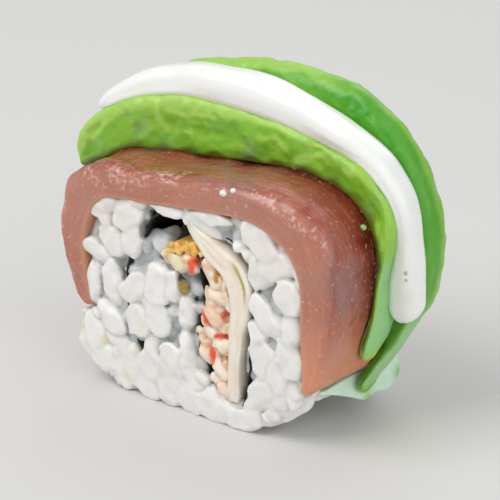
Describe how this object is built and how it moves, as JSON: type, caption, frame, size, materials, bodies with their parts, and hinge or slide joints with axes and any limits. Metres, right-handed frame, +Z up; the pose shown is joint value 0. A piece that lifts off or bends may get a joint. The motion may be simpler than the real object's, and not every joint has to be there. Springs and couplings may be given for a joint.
{
  "type": "uramaki roll",
  "caption": "One cut piece of inside-out sushi: rice and nori round a crab filling, with tuna, avocado slices and a band of mayonnaise laid over the top.",
  "frame": {"origin": "on the surface it rests on, below the middle of the whole box", "axes": "+Z up; Y along the roll's axis, with the cut face seen first towards -Y; +X towards the side where the avocado reaches lowest"},
  "size_m": [0.0639, 0.026, 0.0538],
  "materials": {
    "rice": "cooked short-grain rice: white, sticky, softly translucent, with single grains",
    "nori": "damp toasted seaweed sheet: near black, slightly green, thin",
    "egg": "moist yellow-orange egg, crumbly",
    "crab": "shredded crab meat: cream to pink with orange-red flecks, moist",
    "crab_strip": "ivory leaf of crab stick, moist and faintly layered",
    "tuna": "raw tuna slice: brown-red, wet, with fine fibres and a paler cut edge",
    "avocado": "ripe avocado flesh: green, buttery, smeared, lighter along the edges",
    "avocado_skin_side": "pale mint avocado flesh from just under the skin, thin and translucent",
    "mayonnaise": "thick white mayonnaise, glossy and rounded"
  },
  "bodies": {
    "root": {"rice": "rice", "nori": "nori", "egg": "egg", "crab_shreds": "crab", "crab_strip": "crab_strip", "tuna": "tuna", "avocado_slice_front": "avocado", "avocado_slice_back": "avocado", "avocado_sliver": "avocado_skin_side", "mayonnaise": "mayonnaise"}
  },
  "joints": []
}
